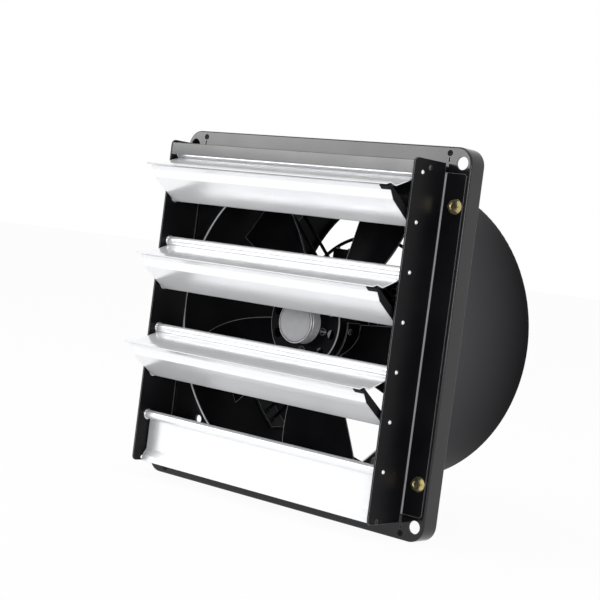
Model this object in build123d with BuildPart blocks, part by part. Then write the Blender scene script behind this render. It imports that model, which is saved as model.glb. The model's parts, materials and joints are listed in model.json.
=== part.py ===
import os
from math import atan2, cos, radians, sin, sqrt, tan

from build123d import *

# Shutter exhaust fan for a square wall opening.
# Millimetres, +Z up, the shutter faces -Y and the barrel runs back along +Y.
# The origin is on the fan's axis, in the front face of the mounting plate.

# Driving sizes
opening_diameter = 311.0
plate_border = 24.5
barrel_depth = 173.7
shutter_depth = 49.5
opening_radius = opening_diameter / 2
half_plate = opening_radius + plate_border
overrun = 4.0
flat_angle = 360.0

# Mounting plate
plate_sheet = 1.2
plate_depth = 20.0
plate_corner_radius = 16.0
plate_edge_radius = 1.6
corner_hole_radius = 6.0
corner_hole_inset_x = 10.0
corner_hole_inset_z = 14.5
mark_hole_radius = 1.5
mark_inset_x = 25.0
mark_inset_z = 6.0
slit_width = 1.2
slit_length = 4.0
slit_drop = 12.0
corner_hole_x = half_plate - corner_hole_inset_x
corner_hole_z = half_plate - corner_hole_inset_z

# Fan barrel
barrel_sheet = 1.2
barrel_lip_width = 13.3
barrel_bend_radius = 1.0
rim_curl_radius = 3.0
rim_curl_hole_radius = 1.8
lip_hole_radius = 4.25
lip_hole_reach = 8.5
barrel_outer_radius = opening_radius + barrel_sheet
lip_hole_offset = (opening_radius + lip_hole_reach) / sqrt(2)

# Side brackets
bracket_sheet = 1.5
bracket_overhang = 1.1
foot_edge_gap = 3.0
bracket_end_inset = 15.5
foot_end_inset = 24.0
bracket_corner_radius = 5.0
foot_corner_radius = 3.0
bracket_bend_radius = 1.5
bracket_outer_x = opening_radius - bracket_overhang
bracket_inner_x = bracket_outer_x - bracket_sheet
foot_outer_x = half_plate - foot_edge_gap
bracket_foot_width = foot_outer_x - bracket_outer_x
bracket_bend_depth = bracket_bend_radius + bracket_sheet
bracket_half_height = half_plate - bracket_end_inset
foot_half_height = half_plate - foot_end_inset

# Pivots: seven louvers, and one empty hole at the foot of each bracket
louver_count = 7
top_pivot_drop = 28.0
end_hole_rise = 18.4
pivot_inset = 12.5
pivot_pitch = (2 * half_plate - top_pivot_drop - end_hole_rise) / louver_count
pivot_y = pivot_inset - shutter_depth
top_pivot_z = half_plate - top_pivot_drop
pin_radius = 1.9
pin_clearance = 0.3
pin_press_clearance = 0.05
pin_grip = 14.0
pin_proud = 1.0
pin_chamfer = 0.5
washer_thickness = 0.8
washer_radius = 5.4
washer_clearance = 0.25

# Louver blades
louver_sheet = 1.0
bead_radius = 4.5
bead_slot_width = 1.6
bead_slot_angle = 50.0
louver_overlap = 3.2
lip_length = 5.5
slant_run = 7.0
slant_step = 4.7
crease_radius = 1.2
odd_open_angle = 70.0
even_open_angle = 125.0
louver_length = pivot_pitch + louver_overlap
bead_bore_radius = pin_radius + pin_clearance
washer_outer_x = bracket_inner_x - washer_clearance
louver_end_x = washer_outer_x - washer_thickness - washer_clearance

# Lip clips on the lower louver of each pair
clip_sheet = 1.2
clip_leg = 1.0
clip_gap = 0.15
clip_length = 10.0
clip_grip = 5.0
clip_side_gap = 0.3
arm_front = 2.3
clip_outer_x = louver_end_x - clip_side_gap
clip_inner_x = clip_outer_x - clip_sheet
short_louver_end_x = clip_inner_x - clip_side_gap

# Top rail
rail_sheet = 1.2
rail_front_height = 12.0
rail_rear_height = 5.0
rail_end_gap = 0.3
rail_front_inset = 0.3
rail_top_drop = 18.2
rail_tab_width = 9.0
rail_tab_height = 8.0
rail_tab_inset = 19.0
rail_bend_radius = 0.6
rivet_radius = 1.6
rivet_head_radius = 2.6
rivet_head_height = 1.0
rivet_rise = 3.4
rivet_taper = 45.0
rail_top_z = half_plate - rail_top_drop
rail_end_x = bracket_inner_x - rail_end_gap
rail_front_y = rail_front_inset - shutter_depth
rail_tab_front_y = rail_tab_inset - shutter_depth
rivet_y = rail_tab_front_y + rail_tab_width / 2
rivet_z = rail_top_z - rail_sheet - rivet_rise

# Bracket bolts, M6 with washer heads
bolt_radius = 3.0
bolt_hole_radius = 3.3
bolt_head_flat_radius = 5.0
bolt_head_height = 4.0
bolt_head_dish = 0.8
bolt_flange_radius = 7.0
bolt_flange_height = 1.2
bolt_washer_radius = 6.5
bolt_washer_thickness = 1.0
nut_height = 5.0
bolt_tail = 2.0
bolt_inset_x = 10.4
bolt_inset_z = 54.0
bolt_x = half_plate - bolt_inset_x
bolt_z = half_plate - bolt_inset_z

# Impeller
tip_gap = 7.5
blade_count = 5
blade_sheet = 1.5
blade_front_y = 27.0
blade_run = 21.0
blade_camber_share = 0.11
blade_middle_angle = 59.5
tip_radius = opening_radius - tip_gap
# Each station: distance from the axis, front corner and rear corner across it, as shares of the tip
# radius, then the depth of the front and the rear corner as shares of the blade's run.
station_shares = [
    (0.255, -0.112, 0.088, -0.05, 0.68),
    (0.370, -0.149, 0.123, 0.00, 0.80),
    (0.640, -0.214, 0.209, 0.00, 0.93),
    (1.015, -0.200, 0.324, 0.00, 1.00),
]
hub_radius = 44.5
hub_sheet = 1.6
hub_front_y = 11.0
hub_depth = 32.0
hub_edge_radius = 2.5
hub_hole_radius = 4.8
hub_hole_inset = 9.0
root_tab_gap = 0.3
root_tab_sheet = 1.5
root_tab_inset = 2.0
root_tab_length = 19.0
root_tab_start = -26.0
root_tab_span = 46.0
blade_rivet_radius = 2.0
blade_rivet_head_radius = 3.0
blade_rivet_head_height = 1.3
blade_rivet_gap = 0.1
rear_rivet_inset = 5.5
rear_rivet_turn = -18.0
front_rivet_inset = 16.5
front_rivet_turn = 9.0
hub_rear_y = hub_front_y + hub_depth
hub_hole_reach = hub_radius - hub_hole_inset
root_tab_rear_y = hub_rear_y - root_tab_inset
root_tab_front_y = root_tab_rear_y - root_tab_length
# Rivets of one blade: the angle from its middle, and the depth
blade_rivet_places = [(rear_rivet_turn, hub_rear_y - rear_rivet_inset),
                      (front_rivet_turn, hub_rear_y - front_rivet_inset)]
root_tab_inner_radius = hub_radius + root_tab_gap
root_tab_outer_radius = root_tab_inner_radius + root_tab_sheet

# Hub boss and its cap
boss_radius = 20.5
boss_rise = 10.4
boss_drop = 15.0
boss_flange_radius = 31.0
boss_flange_thickness = 4.0
boss_edge_radius = 0.8
boss_groove_width = 1.3
boss_groove_depth = 1.2
boss_groove_angles = (-17.0, -30.0)
boss_hole_gap = 0.5
cap_radius = 21.0
cap_thickness = 2.6
cap_gap = 1.0
cap_edge_radius = 1.0
cap_rim_width = 1.2
cap_rim_height = 0.5
cap_plug_length = 3.0
fit_gap = 0.1
hub_screw_count = 5
hub_screw_reach = 27.0
hub_screw_radius = 2.0
hub_screw_head_radius = 3.6
hub_screw_head_height = 2.2
hub_screw_slot_width = 0.9
hub_screw_slot_depth = 0.9
set_screw_radius = 2.5
set_screw_sink = 2.4
set_screw_inset = 5.4
set_screw_angles = (100.0, 190.0)
boss_front_y = hub_front_y - boss_rise
boss_rear_y = hub_front_y + boss_drop
set_screw_y = boss_front_y + set_screw_inset

# Motor
shaft_radius = 6.0
shaft_recess = 4.4
shaft_tail = 6.0
motor_radius = 50.0
motor_length = 62.5
motor_gap = 1.5
motor_sheet = 1.5
bell_wall = 3.0
front_bell_depth = 14.5
rear_bell_depth = 16.0
bearing_radius = 16.0
bearing_width = 10.0
bearing_gap = 0.15
bearing_seat_wall = 4.0
shaft_hole_gap = 1.0
core_gap = 0.3
core_inset = 2.0
core_width = 16.2
core_slot_count = 12
core_slot_radius = 3.2
core_slot_inset = 4.5
rotor_gap = 0.5
winding_radius = 5.0
winding_gap = 0.4
through_bolt_inset = 6.0
through_bolt_radius = 2.0
through_bolt_hole_radius = 2.4
through_bolt_head_radius = 3.5
through_bolt_head_height = 2.5
lug_reach = 11.0
lug_half_angle = 13.0
lug_thickness = 4.0
vent_radius = 4.0
vent_inset = 17.0
vent_count = 8
motor_front_y = blade_front_y + blade_run + motor_gap
motor_rear_y = motor_front_y + motor_length
front_bell_rear_y = motor_front_y + front_bell_depth
rear_bell_front_y = motor_rear_y - rear_bell_depth
shaft_front_y = boss_front_y + shaft_recess
shaft_rear_y = motor_rear_y + shaft_tail
core_front_y = front_bell_rear_y + core_inset
core_rear_y = rear_bell_front_y - core_inset
core_outer_radius = motor_radius - motor_sheet - core_gap
core_inner_radius = core_outer_radius - core_width
core_slot_reach = core_inner_radius + core_slot_inset
through_bolt_reach = motor_radius - through_bolt_inset
lug_outer_radius = motor_radius + lug_reach
vent_reach = motor_radius - vent_inset

# Wire spider that carries the motor in the barrel
wire_radius = 1.75
wire_gap = 12.0
wire_ring_gap = 29.0
wire_seat_gap = 0.1
spider_plate_gap = 2.0
spider_plate_width = 12.0
spider_plate_thickness = 2.0
spider_inset = 9.0
foot_gap = 0.3
foot_sheet = 1.8
foot_half_angle = 7.0
foot_width = 24.0
mount_bolt_gap = 6.5
mount_bolt_radius = 2.5
mount_bolt_hole_radius = 2.8
mount_bolt_head_radius = 4.6
mount_bolt_head_height = 3.5
mount_nut_height = 4.0
mount_bolt_tail = 1.5
diagonal_angle = 45.0
spider_plate_inner_radius = motor_radius + spider_plate_gap
spider_plate_outer_radius = spider_plate_inner_radius + spider_plate_width
wire_ring_radius = spider_plate_outer_radius + wire_ring_gap
mount_bolt_reach = motor_radius + mount_bolt_gap
spider_front_y = motor_rear_y - spider_inset
spider_wire_y = spider_front_y + spider_plate_thickness / 2
foot_outer_radius = opening_radius - foot_gap

# Terminal box and capacitor on the motor's shell
box_width = 44.0
box_depth = 28.0
box_height = 20.0
box_wall = 1.6
box_saddle = 4.0
box_lid_thickness = 2.0
box_corner_radius = 3.0
lid_screw_radius = 1.5
lid_screw_head_radius = 2.8
lid_screw_head_height = 1.4
lid_post_radius = 3.0
lid_post_sink = 0.6
terminal_width = 24.0
terminal_depth = 10.0
terminal_height = 8.0
terminal_count = 3
terminal_hole_radius = 1.4
gland_radius = 7.0
gland_bore_radius = 3.2
gland_thread_radius = 4.5
gland_length = 12.0
gland_nut_thickness = 2.0
gland_nut_radius = 6.2
capacitor_radius = 13.0
capacitor_inset = 8.5
capacitor_length = 39.0
capacitor_edge_radius = 1.5
capacitor_shell_gap = 3.0
capacitor_clip_sheet = 1.0
capacitor_clip_width = 12.0
capacitor_clip_gap = 0.2
lead_radius = 2.2
lead_gap = 0.4
lead_start_angle = 121.0
lead_end_angle = 254.0
box_base_z = motor_radius + core_gap
box_middle_y = (front_bell_rear_y + rear_bell_front_y) / 2
capacitor_z = -(motor_radius + capacitor_shell_gap + capacitor_radius)
capacitor_front_y = motor_front_y + capacitor_inset
capacitor_rear_y = capacitor_front_y + capacitor_length


def at_depth(depth):
    """Sketch plane across the fan's axis. Sketches on it are extruded forward."""
    return Plane.XZ.offset(-depth)


def across(reach, angle):
    """Sketch plane square to a radius: x runs round the axis, y runs forward."""
    turn = radians(angle)
    outward = Vector(cos(turn), 0, sin(turn))
    return Plane(origin=outward * reach, x_dir=(-sin(turn), 0, cos(turn)), z_dir=outward)


def turned(outline):
    """Add the solid of a closed outline of (radius, depth) points turned about the fan's axis."""
    with BuildSketch(Plane.XY) as profile:
        with BuildLine():
            Polyline(outline, close=True)
        make_face()
    revolve(profile.sketch, axis=Axis.Y)


def tube(front, rear, outer, inner):
    """Add a plain ring between two depths."""
    with BuildSketch(at_depth(rear)) as profile:
        Circle(outer)
        Circle(inner, mode=Mode.SUBTRACT)
    extrude(profile.sketch, amount=rear - front)


def sector(inner, outer, start, span):
    """Add the face of a ring's sector to the sketch."""
    first, last = radians(start), radians(start + span)
    with BuildLine() as border:
        CenterArc((0, 0), inner, start, span)
        CenterArc((0, 0), outer, start, span)
        Line((inner * cos(first), inner * sin(first)), (outer * cos(first), outer * sin(first)))
        Line((inner * cos(last), inner * sin(last)), (outer * cos(last), outer * sin(last)))
    make_face(border.edges())


def cut_round_holes(front, rear, radius, places):
    """Cut round holes along the axis, at the places, between two depths."""
    with BuildSketch(at_depth(rear)) as holes:
        with Locations(places):
            Circle(radius)
    extrude(holes.sketch, amount=rear - front, mode=Mode.SUBTRACT)


def ring_places(reach, count, start):
    """Points spaced evenly on a circle about the axis."""
    angles = [radians(start + flat_angle * k / count) for k in range(count)]
    return [(reach * cos(a), reach * sin(a)) for a in angles]


def four_places(x, z):
    """The four corners of a rectangle about the axis."""
    return [(i * x, j * z) for i in (-1, 1) for j in (-1, 1)]


def save(piece, name):
    """Label a finished piece and write it."""
    piece.part.label = name
    export_step(piece.part, "parts/" + name + ".step")


os.makedirs("parts", exist_ok=True)

# Mounting plate: a square pan with its return flange to the rear
with BuildPart() as mounting_plate:
    with BuildSketch(at_depth(plate_depth)):
        RectangleRounded(2 * half_plate, 2 * half_plate, plate_corner_radius)
    extrude(amount=plate_depth)
    fillet(mounting_plate.faces().sort_by(Axis.Y)[0].edges(), radius=plate_edge_radius)
    inner_side = 2 * (half_plate - plate_sheet)
    with BuildSketch(at_depth(plate_depth + overrun)):
        RectangleRounded(inner_side, inner_side, plate_corner_radius - plate_sheet)
    extrude(amount=plate_depth + overrun - plate_sheet, mode=Mode.SUBTRACT)
    mark_x = half_plate - mark_inset_x
    mark_z = half_plate - mark_inset_z
    cut_round_holes(-overrun, plate_sheet + overrun, opening_radius, [(0, 0)])
    cut_round_holes(-overrun, plate_sheet + overrun, corner_hole_radius,
                    four_places(corner_hole_x, corner_hole_z))
    cut_round_holes(-overrun, plate_sheet + overrun, bolt_hole_radius, four_places(bolt_x, bolt_z))
    cut_round_holes(-overrun, plate_sheet + overrun, lip_hole_radius,
                    four_places(lip_hole_offset, lip_hole_offset))
    cut_round_holes(-overrun, plate_sheet + overrun, mark_hole_radius, four_places(mark_x, mark_z))
    with BuildSketch(at_depth(plate_sheet + overrun)):
        with Locations(four_places(mark_x, half_plate - slit_drop)):
            Rectangle(slit_width, slit_length)
    extrude(amount=plate_sheet + 2 * overrun, mode=Mode.SUBTRACT)
save(mounting_plate, "mounting_plate")

# Fan barrel: rolled wall, front lip flat on the plate's rear face, curled rear rim
with BuildPart() as fan_barrel:
    lip_radius = barrel_outer_radius + barrel_lip_width
    lip_rear_y = plate_sheet + barrel_sheet
    curl_y = barrel_depth - rim_curl_radius
    with BuildSketch(Plane.XY):
        with BuildLine():
            Polyline((opening_radius, plate_sheet), (lip_radius, plate_sheet), (lip_radius, lip_rear_y),
                     (barrel_outer_radius + barrel_bend_radius, lip_rear_y),
                     (barrel_outer_radius, lip_rear_y + barrel_bend_radius),
                     (barrel_outer_radius, curl_y), (opening_radius, curl_y), close=True)
        make_face()
        with Locations((barrel_outer_radius - rim_curl_radius, curl_y)):
            Circle(rim_curl_radius)
            Circle(rim_curl_hole_radius, mode=Mode.SUBTRACT)
    revolve(axis=Axis.Y)
    cut_round_holes(plate_sheet - overrun, lip_rear_y + overrun, lip_hole_radius,
                    four_places(lip_hole_offset, lip_hole_offset))
save(fan_barrel, "fan_barrel")

# Side brackets: a web with the pivot holes and a foot bolted to the plate
with BuildPart() as right_side_bracket:
    with BuildSketch(Plane.XY.offset(-bracket_half_height)):
        with BuildLine():
            FilletPolyline((bracket_outer_x, -shutter_depth), (bracket_outer_x, -bracket_sheet),
                           (foot_outer_x, -bracket_sheet), radius=bracket_bend_radius)
            FilletPolyline((bracket_inner_x, -shutter_depth), (bracket_inner_x, 0),
                           (foot_outer_x, 0), radius=bracket_bend_depth)
            Line((bracket_outer_x, -shutter_depth), (bracket_inner_x, -shutter_depth))
            Line((foot_outer_x, -bracket_sheet), (foot_outer_x, 0))
        make_face()
    extrude(amount=2 * bracket_half_height)
    fillet(right_side_bracket.edges().filter_by(Axis.X).group_by(Axis.Y)[0], radius=bracket_corner_radius)
    with BuildSketch(at_depth(overrun)):
        for side in (-1, 1):
            with Locations((foot_outer_x, side * (foot_half_height + bracket_end_inset))):
                Rectangle(2 * bracket_foot_width + 2 * overrun, 2 * bracket_end_inset)
    extrude(amount=bracket_bend_depth + overrun, mode=Mode.SUBTRACT)
    fillet(right_side_bracket.edges().filter_by(Axis.Y).group_by(Axis.X)[-1], radius=foot_corner_radius)
    with BuildSketch(Plane.YZ.offset(bracket_outer_x + overrun)):
        with Locations([(pivot_y, top_pivot_z - k * pivot_pitch) for k in range(louver_count + 1)]):
            Circle(pin_radius + pin_press_clearance)
        with Locations((rivet_y, rivet_z)):
            Circle(rivet_radius + pin_press_clearance)
    extrude(amount=-(bracket_sheet + 2 * overrun), mode=Mode.SUBTRACT)
    cut_round_holes(-bracket_sheet - overrun, overrun, bolt_hole_radius,
                    [(bolt_x, -bolt_z), (bolt_x, bolt_z)])
save(right_side_bracket, "right_side_bracket")

with BuildPart() as left_side_bracket:
    mirror(right_side_bracket.part, about=Plane.YZ)
save(left_side_bracket, "left_side_bracket")

# Top rail: a channel open downward, with a tab at each end riveted to the bracket
with BuildPart() as top_rail:
    rail_under_z = rail_top_z - rail_sheet
    with BuildSketch(Plane.YZ.offset(-rail_end_x)):
        with BuildLine():
            Polyline((rail_front_y, rail_top_z - rail_front_height),
                     (rail_front_y, rail_top_z - rail_bend_radius),
                     (rail_front_y + rail_bend_radius, rail_top_z), (0, rail_top_z),
                     (0, rail_top_z - rail_rear_height), (-rail_sheet, rail_top_z - rail_rear_height),
                     (-rail_sheet, rail_under_z), (rail_front_y + rail_sheet, rail_under_z),
                     (rail_front_y + rail_sheet, rail_top_z - rail_front_height), close=True)
        make_face()
    extrude(amount=2 * rail_end_x)
    for side in (-1, 1):
        with BuildSketch(Plane.YZ.offset(side * rail_end_x)):
            with Locations((rivet_y, rail_under_z)):
                Rectangle(rail_tab_width, rail_tab_height, align=(Align.CENTER, Align.MAX))
            with Locations((rivet_y, rivet_z)):
                Circle(rivet_radius + pin_press_clearance, mode=Mode.SUBTRACT)
        extrude(amount=-side * rail_sheet)
save(top_rail, "top_rail")

with BuildPart() as rail_rivets:
    for side in (-1, 1):
        with BuildSketch(Plane.YZ.offset(side * bracket_outer_x)):
            with Locations((rivet_y, rivet_z)):
                Circle(rivet_head_radius)
        extrude(amount=side * rivet_head_height, taper=rivet_taper)
        with BuildSketch(Plane.YZ.offset(side * (rail_end_x - rail_sheet))):
            with Locations((rivet_y, rivet_z)):
                Circle(rivet_head_radius)
        extrude(amount=-side * rivet_head_height)
        with BuildSketch(Plane.YZ.offset(side * (rail_end_x - rail_sheet))):
            with Locations((rivet_y, rivet_z)):
                Circle(rivet_radius)
        extrude(amount=side * (bracket_outer_x - rail_end_x + rail_sheet))
save(rail_rivets, "rail_rivets")

# Bracket bolts: washer-faced hexagon heads in front, washers and nuts behind the plate
bolt_places = four_places(bolt_x, bolt_z)
foot_front_y = -bracket_sheet
bolt_washer_rear_y = plate_sheet + bolt_washer_thickness
bolt_nut_rear_y = bolt_washer_rear_y + nut_height
flange_front_y = foot_front_y - bolt_flange_height
with BuildPart() as bracket_bolts:
    with BuildSketch(at_depth(foot_front_y)):
        with Locations(bolt_places):
            Circle(bolt_flange_radius)
    extrude(amount=bolt_flange_height)
    with BuildSketch(at_depth(flange_front_y)):
        with Locations(bolt_places):
            RegularPolygon(bolt_head_flat_radius, 6, major_radius=False)
    extrude(amount=bolt_head_height)
    head_front_y = flange_front_y - bolt_head_height
    cut_round_holes(head_front_y, head_front_y + bolt_head_dish, bolt_radius, bolt_places)
    with BuildSketch(at_depth(bolt_nut_rear_y + bolt_tail)):
        with Locations(bolt_places):
            Circle(bolt_radius)
    extrude(amount=bolt_nut_rear_y + bolt_tail - foot_front_y)
save(bracket_bolts, "bracket_bolts")

with BuildPart() as bracket_washers:
    with BuildSketch(at_depth(bolt_washer_rear_y)):
        with Locations(bolt_places):
            Circle(bolt_washer_radius)
            Circle(bolt_hole_radius, mode=Mode.SUBTRACT)
    extrude(amount=bolt_washer_thickness)
save(bracket_washers, "bracket_washers")

with BuildPart() as bracket_nuts:
    with BuildSketch(at_depth(bolt_nut_rear_y)):
        with Locations(bolt_places):
            RegularPolygon(bolt_head_flat_radius, 6, major_radius=False)
            Circle(bolt_radius + pin_press_clearance, mode=Mode.SUBTRACT)
    extrude(amount=nut_height)
save(bracket_nuts, "bracket_nuts")


def louver_plane(row, angle, x):
    """Sketch plane across a louver: x points outward from the hanging blade, y up along it."""
    turn = radians(angle)
    place = (x, pivot_y, top_pivot_z - row * pivot_pitch)
    return Plane(origin=place, x_dir=(0, -cos(turn), sin(turn)), z_dir=(-1, 0, 0))


def louver(row, angle, right_end_x):
    """One louver extrusion: slotted hinge bead, flat panel, slanted step and end lip."""
    back = -bead_radius
    lip_back = back + slant_step
    crease_drop = louver_length - lip_length - slant_run
    lip_drop = crease_drop + slant_run
    mitre = louver_sheet * tan(atan2(slant_step, slant_run) / 2)
    rear_face = [(back, 0), (back, -crease_drop), (lip_back, -lip_drop), (lip_back, -louver_length)]
    front_face = [(back + louver_sheet, 0), (back + louver_sheet, mitre - crease_drop),
                  (lip_back + louver_sheet, mitre - lip_drop), (lip_back + louver_sheet, -louver_length)]
    with BuildPart() as blade:
        with BuildSketch(louver_plane(row, angle, right_end_x)):
            with BuildLine():
                FilletPolyline(rear_face, radius=crease_radius)
                FilletPolyline(front_face, radius=crease_radius)
                Line(rear_face[0], front_face[0])
                Line(rear_face[-1], front_face[-1])
            make_face()
            Circle(bead_radius)
            Circle(bead_bore_radius, mode=Mode.SUBTRACT)
            with Locations(Rotation(0, 0, bead_slot_angle)):
                Rectangle(bead_radius + overrun, bead_slot_width, align=(Align.MIN, Align.CENTER),
                          mode=Mode.SUBTRACT)
        extrude(amount=right_end_x + louver_end_x)
    return blade


def lip_clip(row, angle):
    """The arm at a louver's right end: an eye on the pin and a clip folded over the end lip."""
    lip_back = slant_step - bead_radius
    lip_face = lip_back + louver_sheet
    rear = lip_back - clip_gap - clip_leg
    front = lip_face + clip_gap + clip_leg
    tip = -louver_length - clip_gap - clip_leg
    crease_drop = louver_length - lip_length - slant_run
    with BuildPart() as clip:
        with BuildSketch(louver_plane(row, angle, clip_outer_x)):
            with BuildLine():
                Polyline((-bead_radius, 0), (arm_front, 0), (arm_front, tip + clip_grip),
                         (front, tip + clip_leg), (front, tip), (rear, tip), (rear, tip + clip_grip),
                         (-bead_radius, -crease_drop), close=True)
            make_face()
            Circle(bead_radius)
            Circle(bead_bore_radius, mode=Mode.SUBTRACT)
        extrude(amount=clip_sheet)
        with BuildSketch(louver_plane(row, angle, clip_inner_x)):
            with BuildLine():
                Polyline((rear, tip + clip_grip), (rear, tip), (front, tip), (front, tip + clip_grip),
                         (front - clip_leg, tip + clip_grip), (front - clip_leg, tip + clip_leg),
                         (rear + clip_leg, tip + clip_leg), (rear + clip_leg, tip + clip_grip), close=True)
            make_face()
        extrude(amount=clip_length)
    return clip


# Louvers: three pairs that open to a V, and a lowest one that hangs
for row in range(louver_count):
    lower_of_pair = row % 2 == 1
    hanging = row == louver_count - 1
    open_angle = even_open_angle if lower_of_pair else odd_open_angle
    rest_angle = 0 if hanging else open_angle
    blade = louver(row, rest_angle, short_louver_end_x if lower_of_pair else louver_end_x)
    save(blade, f"louver_blade_{row + 1}")
    if lower_of_pair:
        save(lip_clip(row, rest_angle), f"lip_clip_{row // 2 + 1}")


def pivot_pins(side):
    """The seven pins of one bracket, pressed into its web and reaching into the beads."""
    outer = bracket_outer_x + pin_proud
    with BuildPart() as pins:
        with BuildSketch(Plane.YZ.offset(side * outer)):
            with Locations([(pivot_y, top_pivot_z - k * pivot_pitch) for k in range(louver_count)]):
                Circle(pin_radius)
        extrude(amount=-side * (outer - louver_end_x + pin_grip))
        outer_faces = pins.faces().filter_by(Axis.X).sort_by(Axis.X)
        ends = outer_faces[-louver_count:] if side > 0 else outer_faces[:louver_count]
        chamfer([edge for face in ends for edge in face.edges()], length=pin_chamfer)
    return pins


save(pivot_pins(-1), "left_pivot_pins")
save(pivot_pins(1), "right_pivot_pins")

with BuildPart() as pivot_washers:
    for side in (-1, 1):
        with BuildSketch(Plane.YZ.offset(side * washer_outer_x)):
            with Locations([(pivot_y, top_pivot_z - k * pivot_pitch) for k in range(louver_count)]):
                Circle(washer_radius)
                Circle(pin_radius + pin_press_clearance, mode=Mode.SUBTRACT)
        extrude(amount=-side * washer_thickness)
save(pivot_washers, "pivot_washers")

# Impeller hub: a cup open to the rear, with lightening holes, screw holes and rivet holes
blade_angles = [blade_middle_angle + flat_angle * k / blade_count for k in range(blade_count)]
hub_rivet_places = [(angle + turn, depth) for angle in blade_angles for turn, depth in blade_rivet_places]
hub_screw_places = ring_places(hub_screw_reach, hub_screw_count, blade_middle_angle)
hub_face_rear_y = hub_front_y + hub_sheet
with BuildPart() as impeller_hub:
    with BuildSketch(at_depth(hub_rear_y)):
        Circle(hub_radius)
    extrude(amount=hub_depth)
    fillet(impeller_hub.faces().sort_by(Axis.Y)[0].edges(), radius=hub_edge_radius)
    cut_round_holes(hub_face_rear_y, hub_rear_y + overrun, hub_radius - hub_sheet, [(0, 0)])
    cut_round_holes(hub_front_y - overrun, hub_rear_y, boss_radius + boss_hole_gap, [(0, 0)])
    cut_round_holes(hub_front_y - overrun, hub_face_rear_y + overrun, hub_hole_radius,
                    ring_places(hub_hole_reach, 2 * blade_count, blade_middle_angle))
    cut_round_holes(hub_front_y - overrun, hub_face_rear_y + overrun, hub_screw_radius + fit_gap,
                    hub_screw_places)
    for angle, depth in hub_rivet_places:
        with BuildSketch(across(hub_radius - hub_sheet - overrun, angle)):
            with Locations((0, -depth)):
                Circle(blade_rivet_radius + blade_rivet_gap)
        extrude(amount=hub_sheet + 2 * overrun, mode=Mode.SUBTRACT)
save(impeller_hub, "impeller_hub")


def fan_blade(middle_angle):
    """One twisted sheet blade with a root tab that follows the hub's wall."""
    with BuildPart() as blade:
        for reach_share, front_share, rear_share, front_depth_share, rear_depth_share in station_shares:
            front = Vector(front_share * tip_radius, -(blade_front_y + front_depth_share * blade_run))
            rear = Vector(rear_share * tip_radius, -(blade_front_y + rear_depth_share * blade_run))
            chord = rear - front
            normal = Vector(chord.Y, -chord.X).normalized()
            bulge = (front + rear) * 0.5 + normal * (blade_camber_share * chord.length)
            sheet = normal * blade_sheet
            with BuildSketch(across(reach_share * tip_radius, middle_angle)):
                with BuildLine():
                    ThreePointArc(front, bulge, rear)
                    ThreePointArc(front + sheet, bulge + sheet, rear + sheet)
                    Line(front, front + sheet)
                    Line(rear, rear + sheet)
                make_face()
        loft()
        with BuildSketch(at_depth(barrel_depth)):
            Circle(tip_radius)
            Circle((root_tab_inner_radius + root_tab_outer_radius) / 2, mode=Mode.SUBTRACT)
        extrude(amount=barrel_depth, mode=Mode.INTERSECT)
        with BuildSketch(at_depth(root_tab_rear_y)):
            sector(root_tab_inner_radius, root_tab_outer_radius, middle_angle + root_tab_start,
                   root_tab_span)
        extrude(amount=root_tab_rear_y - root_tab_front_y)
        for turn, depth in blade_rivet_places:
            with BuildSketch(across(root_tab_inner_radius - overrun, middle_angle + turn)):
                with Locations((0, -depth)):
                    Circle(blade_rivet_radius + blade_rivet_gap)
            extrude(amount=root_tab_sheet + 2 * overrun, mode=Mode.SUBTRACT)
    return blade


for number, angle in enumerate(blade_angles):
    save(fan_blade(angle), f"fan_blade_{number + 1}")

with BuildPart() as blade_rivets:
    rivet_head_seat = root_tab_outer_radius + blade_rivet_gap
    rivet_tail_seat = hub_radius - hub_sheet - root_tab_gap
    for angle, depth in hub_rivet_places:
        with BuildSketch(across(rivet_head_seat, angle)):
            with Locations((0, -depth)):
                Circle(blade_rivet_head_radius)
        extrude(amount=blade_rivet_head_height, taper=rivet_taper)
        with BuildSketch(across(rivet_tail_seat, angle)):
            with Locations((0, -depth)):
                Circle(blade_rivet_radius)
        extrude(amount=rivet_head_seat - rivet_tail_seat)
        with BuildSketch(across(rivet_tail_seat, angle)):
            with Locations((0, -depth)):
                Circle(blade_rivet_head_radius)
        extrude(amount=-blade_rivet_head_height)
save(blade_rivets, "blade_rivets")

# Hub boss: it clamps the hub from behind and passes through it to the front
with BuildPart() as hub_boss:
    flange_rear_y = hub_face_rear_y + boss_flange_thickness
    bore = shaft_radius + fit_gap
    turned([(bore, boss_front_y), (boss_radius - boss_edge_radius, boss_front_y),
            (boss_radius, boss_front_y + boss_edge_radius), (boss_radius, hub_face_rear_y),
            (boss_flange_radius, hub_face_rear_y), (boss_flange_radius, flange_rear_y),
            (boss_radius, flange_rear_y), (boss_radius, boss_rear_y), (bore, boss_rear_y)])
    cut_round_holes(hub_face_rear_y - overrun, flange_rear_y + overrun, hub_screw_radius + fit_gap,
                    hub_screw_places)
    for angle in boss_groove_angles:
        with BuildSketch(across(boss_radius - boss_groove_depth, angle)):
            with Locations((0, -boss_front_y + overrun)):
                Rectangle(boss_groove_width, hub_front_y - boss_front_y + overrun,
                          align=(Align.CENTER, Align.MAX))
        extrude(amount=boss_groove_depth + overrun, mode=Mode.SUBTRACT)
    for angle in set_screw_angles:
        with BuildSketch(across(0, angle)):
            with Locations((0, -set_screw_y)):
                Circle(set_screw_radius + fit_gap)
        extrude(amount=boss_radius + overrun, mode=Mode.SUBTRACT)
save(hub_boss, "hub_boss")

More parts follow.
